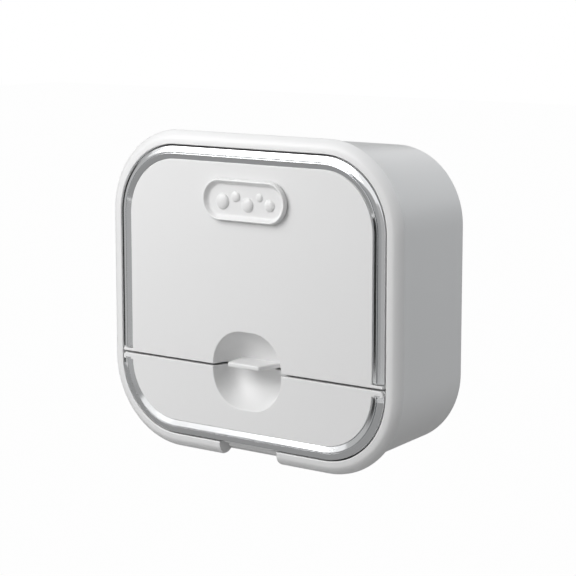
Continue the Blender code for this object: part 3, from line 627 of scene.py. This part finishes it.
def buildBand(name, look, upper):
    path = bandPath(look, upper)
    path += [((-x, z), (-u, v), share) for (x, z), (u, v), share in reversed(path)]
    section = look["section"] + [(look["width"], look["back"]), (0.0, look["back"])]
    centre = look["width"] / 2
    work = bmesh.new()
    rings = []
    for (x, z), (u, v), share in path:
        ring = []
        for inward, depth in section:
            across = centre + (inward - centre) * (look["endWidth"] + (1 - look["endWidth"]) * share)
            down = look["back"] + (depth - look["back"]) * share
            ring.append(work.verts.new((x + u * across, frontMm + down, z + v * across)))
        rings.append(ring)
    for near, far in zip(rings, rings[1:]):
        bridge(work, near, far)
    work.faces.new(rings[0])
    work.faces.new(rings[-1])
    bmesh.ops.recalc_face_normals(work, faces=work.faces)
    made = newObject(name, meshFrom(work, name))
    body, node = ("flap", "flap_band") if upper else ("drawer", "drawer_band")
    settle(made, bandChrome, body, [node], look["sharpAngle"])


buildBand("flapBand", band, True)
buildBand("drawerBand", band, False)
print("stage: bands made")

badge = {
    "halfW": 19.95, "halfH": 8.05, "rise": 37.8, "round": 0.9995, "steps": 24, "sharpAngle": 50,
    # inset and depth, from the back edge over the rim to the floor
    "rim": [(0.0, -0.8), (0.07, -1.8), (0.16, -2.24), (0.3, -2.53), (0.5, -2.68), (0.72, -2.66),
            (0.95, -2.48), (1.25, -2.08), (1.6, -1.58), (1.9, -1.24), (2.2, -1.06), (2.6, -1.0)],
    # x, z and radius of the domes on the floor; how flat they are and how far they sink into it
    "domes": [(-10.9, -0.7, 3.1), (-4.5, 1.4, 2.05), (1.2, -1.5, 2.75), (6.9, 1.7, 1.6), (11.7, -1.0, 2.35)],
    "flat": 0.42, "sink": 0.25, "domeRound": 40, "domeTall": 24,
    "stud": 1.1, "studX": 12.0, "studFront": -1.0, "studBack": 2.0,
}


def domeMesh(look, x, z, radius, floor):
    work = bmesh.new()
    bmesh.ops.create_uvsphere(work, u_segments=look["domeRound"], v_segments=look["domeTall"], radius=radius)
    work.transform(Matrix.Translation((x, frontMm + floor, look["rise"] + z))
                   @ Matrix.Diagonal((1, look["flat"], 1, 1)) @ Matrix.Rotation(math.pi / 2, 4, "X"))
    bmesh.ops.bisect_plane(work, geom=work.verts[:] + work.edges[:] + work.faces[:],
                           plane_co=(0, frontMm + (floor + look["sink"]), 0), plane_no=(0, 1, 0),
                           clear_outer=True)
    bmesh.ops.contextual_create(work, geom=[e for e in work.edges if e.is_boundary])
    bmesh.ops.recalc_face_normals(work, faces=work.faces)
    return meshFrom(work, "dome")


def buildBadge(look):
    sections = []
    for side, depth in look["rim"]:
        wide, high = look["halfW"] - side, look["halfH"] - side
        sections.append((roundedRect(wide, high, high * look["round"], look["rise"], look["steps"]), depth))
    made = newObject("badge", loft(sections))
    floor = look["rim"][-1][1]
    for x, z, radius in look["domes"]:
        carve(made, domeMesh(look, x, z, radius, floor), "UNION")
    studs = [peg(look["stud"], look["studFront"], look["studBack"], (hand * look["studX"], look["rise"]),
                 look["steps"]) for hand in (-1, 1)]
    carve(made, joined(studs), "UNION")
    settle(made, doorWhite, "flap", ["badge_plate"], look["sharpAngle"])


buildBadge(badge)
print("stage: badge made")

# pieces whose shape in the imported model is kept
keptNodes = {
    "adhesive_pad": padFoam, "wall_plate": plateGrey,
    "side_frame_left": innerWhite, "side_frame_right": innerWhite,
    "soap_rack": innerWhite, "drawer_tray": innerWhite,
    "flap_bumper_left": bumperRubber, "flap_bumper_right": bumperRubber,
    "hinge_pin_left": screwSteel, "hinge_pin_right": screwSteel,
}
for nodeName, surface in keptNodes.items():
    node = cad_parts[nodeName]
    node.data.materials.clear()
    node.data.materials.append(surface)
print("stage: inner pieces finished")

# screws, sizes in metres: head at the rear, thread forward, a cross in the head
frameScrews = {"head": 0.00258, "headHigh": 0.00157, "shank": 0.00118, "length": 0.0087, "turns": 8.0,
               "cross": 0.0006}
trayScrews = {"head": 0.00218, "headHigh": 0.00137, "shank": 0.00098, "length": 0.0055, "turns": 6.0,
              "cross": 0.0005}
# shares of the shank for core, tip and ridge, of the thread's run, and of the head for dome and cross
screwShape = {
    "core": 0.82, "tip": 0.12, "ridge": 0.17, "threadRun": 0.86, "threadEnd": 0.96, "dome": 1.75, "arm": 1.15,
    "rodSides": 20, "headSides": 40, "domeSides": 48, "domeRings": 32, "turnSteps": 14, "sharpAngle": 35,
    "sunk": 0.00002,
}


def screwTree(surface, look):
    tree = bpy.data.node_groups.new("screwMaker", "GeometryNodeTree")
    tree.interface.new_socket("Geometry", in_out="INPUT", socket_type="NodeSocketGeometry")
    for label in ("Head Radius", "Head Height", "Shank Radius", "Length", "Turns", "Cross"):
        tree.interface.new_socket(label, in_out="INPUT", socket_type="NodeSocketFloat")
    tree.interface.new_socket("Geometry", in_out="OUTPUT", socket_type="NodeSocketGeometry")
    entry = tree.nodes.new("NodeGroupInput")
    places = Wire(tree, entry.outputs["Geometry"])
    head, high, shank, length, turns, cross = [Wire(tree, entry.outputs[k]) for k in range(1, 7)]

    def vector(x, y, z):
        return places.node("ShaderNodeCombineXYZ", X=x, Y=y, Z=z)

    def moved(shape, z, turn=(0.0, 0.0, 0.0)):
        return shape.node("GeometryNodeTransform", Geometry=shape, Translation=vector(0.0, 0.0, z),
                          Rotation=turn)

    core = shank * look["core"]
    rod = core.node("GeometryNodeMeshCylinder", Vertices=look["rodSides"], Radius=core, Depth=length - shank)
    rod = moved(rod, (shank - length) * 0.5)
    tip = core.node("GeometryNodeMeshCone", Vertices=look["rodSides"], Radius_Top=shank * look["tip"],
                    Radius_Bottom=core, Depth=shank)
    tip = moved(tip, shank - length, (math.pi, 0.0, 0.0))
    ridge = turns.node("GeometryNodeCurveSpiral", Resolution=look["turnSteps"], Rotations=turns,
                       Start_Radius=core, End_Radius=core, Height=(length - shank) * look["threadRun"])
    edge = shank.node("GeometryNodeCurvePrimitiveCircle", Resolution=3, Radius=shank * look["ridge"])
    thread = ridge.node("GeometryNodeCurveToMesh", Curve=ridge, Profile_Curve=edge, Fill_Caps=True)
    thread = moved(thread, (shank - length) * look["threadEnd"])
    cap = head.node("GeometryNodeMeshCylinder", Vertices=look["headSides"], Radius=head, Depth=high)
    cap = moved(cap, high * 0.5)
    ball = head.node("GeometryNodeMeshUVSphere", Segments=look["domeSides"], Rings=look["domeRings"],
                     Radius=head * look["dome"])
    ball = moved(ball, high - head * look["dome"])
    domed = cap.node("GeometryNodeMeshBoolean", {"operation": "INTERSECT"})
    for shape in (cap, ball):
        tree.links.new(shape.socket, domed.socket.node.inputs["Mesh 2"])
    slotted = domed.node("GeometryNodeMeshBoolean", {"operation": "DIFFERENCE"}, **{"Mesh 1": domed})
    arm = head * look["arm"]
    for wide, deep in ((arm, cross), (cross, arm)):
        bar = head.node("GeometryNodeMeshCube", Size=vector(wide, deep, high))
        tree.links.new(moved(bar, high).socket, slotted.socket.node.inputs["Mesh 2"])
    whole = tree.nodes.new("GeometryNodeJoinGeometry")
    for piece in (rod, tip, thread, slotted):
        tree.links.new(piece.socket, whole.inputs[0])
    every = places.node("GeometryNodeInstanceOnPoints", Points=places, Instance=Wire(tree, whole.outputs[0]),
                        Rotation=(-math.pi / 2, 0.0, 0.0))
    real = every.node("GeometryNodeRealizeInstances", Geometry=every)
    painted = real.node("GeometryNodeSetMaterial", Geometry=real, Material=surface)
    leave = tree.nodes.new("NodeGroupOutput")
    tree.links.new(painted.socket, leave.inputs["Geometry"])
    return tree


def buildScrews(name, look, body, nodes):
    seats = []
    for node in nodes:
        low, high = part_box(node)
        seats.append(((low.x + high.x) / 2, high.y - look["headHigh"] - screwShape["sunk"],
                      (low.z + high.z) / 2))
    mesh = bpy.data.meshes.new(name)
    mesh.from_pydata(seats, [], [])
    made = newObject(name, mesh)
    maker = made.modifiers.new("maker", "NODES")
    maker.node_group = screwMaker
    sizes = {"Head Radius": "head", "Head Height": "headHigh", "Shank Radius": "shank", "Length": "length",
             "Turns": "turns", "Cross": "cross"}
    for item in screwMaker.interface.items_tree:
        if item.in_out == "INPUT" and item.name in sizes:
            maker[item.identifier] = look[sizes[item.name]]
    plain(made)
    made.data.shade_smooth()
    made.data.set_sharp_from_angle(angle=math.radians(screwShape["sharpAngle"]))
    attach(made, body)
    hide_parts(*nodes)


screwMaker = screwTree(screwSteel, screwShape)
buildScrews("frameScrews", frameScrews, "housing", ["frame_screw_left_upper", "frame_screw_left_lower",
                                                    "frame_screw_right_upper", "frame_screw_right_lower"])
buildScrews("trayScrews", trayScrews, "drawer", ["tray_screw_left", "tray_screw_right"])
print("stage: screws made")

studio = {
    # camera and focus in millimetres from the middle of the front plane
    "focus": (19.67, 0.0, 6.46), "cameraAt": (459.4, -570.5, 121.20), "lens": 121.875, "sensor": 36.0,
    "near": 0.01,
    "sky": (1.0, 1.0, 1.0), "skyDiffuse": 0.34,
    "floorDrop": 0.30, "floorSize": 12.0, "floorWhite": 0.985, "floorColour": 0.52, "floorRough": 0.9,
    # name, place, size, power and tint; the low one leaves no mirror image
    "lamps": [("keyLamp", (-0.26, -0.44, 0.335), 0.40, 2.87, (1.0, 1.0, 1.0)),
              ("sideLamp", (0.36, 0.10, 0.30), 0.25, 0.58, (0.93, 0.97, 1.0)),
              ("lowLamp", (-0.16, -0.58, -0.24), 0.30, 0.30, (1.0, 1.0, 1.0))],
    "lampAim": 0.025,
    # the wall's part between two steps of its ring is raised, and falls again over a few steps
    "wallReach": 1.6, "wallLow": -0.40, "wallHigh": 0.30, "wallSteps": 72, "wallRise": 0.8,
    "wallRaised": (42, 61), "wallFade": 4,
    # its brightness over the angle in radians: from dark to pale over wallTurn, then changes by an amount
    "wallFrom": 1.22, "wallTurn": (-0.06, 0.07), "wallDark": 0.025, "wallPale": 0.52,
    "wallChanges": [(-0.17, (0.45, 0.85)), (0.12, (1.02, 1.25))],
    "tableReach": 1.5, "tableRise": 0.002, "tablePale": 0.33,
}


def seenRays(tree):
    # 1 for what the camera sees straight, in mirrors or through glass, 0 for soft light
    ray = tree.nodes.new("ShaderNodeLightPath")
    camera, glossy, through = [Wire(tree, ray.outputs[label])
                               for label in ("Is Camera Ray", "Is Glossy Ray", "Is Transmission Ray")]
    total = camera + glossy + through
    return total.combine("MINIMUM", total, 1.0)


def glowSurface(name):
    surface = bpy.data.materials.new(name)
    surface.use_nodes = True
    tree = surface.node_tree
    glow = tree.nodes.new("ShaderNodeEmission")
    tree.links.new(glow.outputs[0], tree.nodes["Material Output"].inputs["Surface"])
    return surface, tree, glow


def buildSky(look):
    world = bpy.data.worlds.new("studioSky")
    world.use_nodes = True
    tree = world.node_tree
    back = tree.nodes["Background"]
    back.inputs["Color"].default_value = (*look["sky"], 1)
    strength = seenRays(tree) * (1.0 - look["skyDiffuse"]) + look["skyDiffuse"]
    tree.links.new(strength.socket, back.inputs["Strength"])
    bpy.context.scene.world = world


def buildFloor(look, low):
    size = look["floorSize"] / 2
    mesh = bpy.data.meshes.new("studioFloor")
    mesh.from_pydata([(-size, -size, low), (size, -size, low), (size, size, low), (-size, size, low)], [],
                     [(0, 1, 2, 3)])
    floor = newObject("studioFloor", mesh)
    paint = bpy.data.materials.new("floorPaint")
    paint.use_nodes = True
    tree = paint.node_tree
    shader = tree.nodes["Principled BSDF"]
    shader.inputs["Base Color"].default_value = (*[look["floorColour"]] * 3, 1)
    shader.inputs["Roughness"].default_value = look["floorRough"]
    glow = tree.nodes.new("ShaderNodeEmission")
    mix = tree.nodes.new("ShaderNodeMixShader")
    tree.links.new((seenRays(tree) * look["floorWhite"]).socket, mix.inputs[0])
    tree.links.new(shader.outputs[0], mix.inputs[1])
    tree.links.new(glow.outputs[0], mix.inputs[2])
    tree.links.new(mix.outputs[0], tree.nodes["Material Output"].inputs["Surface"])
    mesh.materials.append(paint)
    floor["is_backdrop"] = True


def stageCard(name, mesh, surface):
    # a card that only mirrors see
    mesh.materials.append(surface)
    card = newObject(name, mesh)
    card.visible_camera = card.visible_diffuse = card.visible_shadow = card.visible_transmission = False
    card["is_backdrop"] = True


def buildWall(look):
    # a dim wall round the studio: dark at the left, grey in front
    steps, reach = look["wallSteps"], look["wallReach"]
    first, last = look["wallRaised"]
    work = bmesh.new()
    lower, upper = [], []
    for k in range(steps):
        turn = math.radians(360 / steps * k)
        x, y = reach * math.sin(turn), -reach * math.cos(turn)
        rise = look["wallRise"] * min(1, (last - k) / look["wallFade"]) if first <= k <= last else 0
        lower.append(work.verts.new((x, y, look["wallLow"])))
        upper.append(work.verts.new((x, y, look["wallHigh"] + rise)))
    bridge(work, lower, upper)
    surface, tree, glow = glowSurface("wallGrey")
    place = Wire(tree, tree.nodes.new("ShaderNodeTexCoord").outputs["Object"])
    split = place.node("ShaderNodeSeparateXYZ", Vector=place).socket.node
    right, ahead = Wire(tree, split.outputs["X"]), Wire(tree, split.outputs["Y"]) * -1.0
    cosine, sine = math.cos(look["wallFrom"]), math.sin(look["wallFrom"])
    turn = right.combine("ARCTAN2", right * cosine + ahead * sine, ahead * cosine - right * sine)

    def ramp(span, start, stop):
        return turn.node("ShaderNodeMapRange", {"interpolation_type": "SMOOTHSTEP"}, Value=turn,
                         From_Min=span[0], From_Max=span[1], To_Min=start, To_Max=stop)

    level = ramp(look["wallTurn"], look["wallDark"], look["wallPale"])
    for amount, span in look["wallChanges"]:
        level = level + ramp(span, 0.0, amount)
    tree.links.new(level.socket, glow.inputs["Strength"])
    stageCard("studioWall", meshFrom(work, "studioWall"), surface)


def buildTable(look, low):
    steps, reach = look["wallSteps"], look["tableReach"]
    turns = [math.radians(360 / steps * k) for k in range(steps)]
    mesh = bpy.data.meshes.new("studioTable")
    height = low + look["tableRise"]
    mesh.from_pydata([(reach * math.sin(t), -reach * math.cos(t), height) for t in turns], [],
                     [list(range(steps))])
    surface, tree, glow = glowSurface("tableGrey")
    glow.inputs["Strength"].default_value = look["tablePale"]
    stageCard("studioTable", mesh, surface)


def buildLamps(look):
    middle = Vector((0, frontY + look["lampAim"], 0))
    for name, place, size, power, tint in look["lamps"]:
        lamp = bpy.data.lights.new(name, "AREA")
        lamp.shape = "SQUARE"
        lamp.size = size
        lamp.energy = power
        lamp.color = tint
        holder = bpy.data.objects.new(name, lamp)
        holder.location = place
        holder.visible_glossy = name != "lowLamp"
        holder.rotation_euler = (middle - Vector(place)).to_track_quat("-Z", "Y").to_euler()
        bpy.context.scene.collection.objects.link(holder)


def buildCamera(look):
    lens = bpy.data.cameras.new("productCamera")
    lens.lens = look["lens"]
    lens.sensor_width = look["sensor"]
    lens.clip_start = look["near"]
    viewer = bpy.data.objects.new("productCamera", lens)
    place, target = [Vector((x * mm, frontY + y * mm, z * mm))
                     for x, y, z in (look["cameraAt"], look["focus"])]
    viewer.location = place
    viewer.rotation_euler = (target - place).to_track_quat("-Z", "Y").to_euler()
    bpy.context.scene.collection.objects.link(viewer)
    bpy.context.scene.camera = viewer


def buildStudio(look):
    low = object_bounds()[0][2] - look["floorDrop"]
    buildSky(look)
    buildFloor(look, low)
    buildWall(look)
    buildTable(look, low)
    buildLamps(look)
    buildCamera(look)
    bpy.context.scene.view_settings.view_transform = "Standard"


buildStudio(studio)
print("stage: studio set")
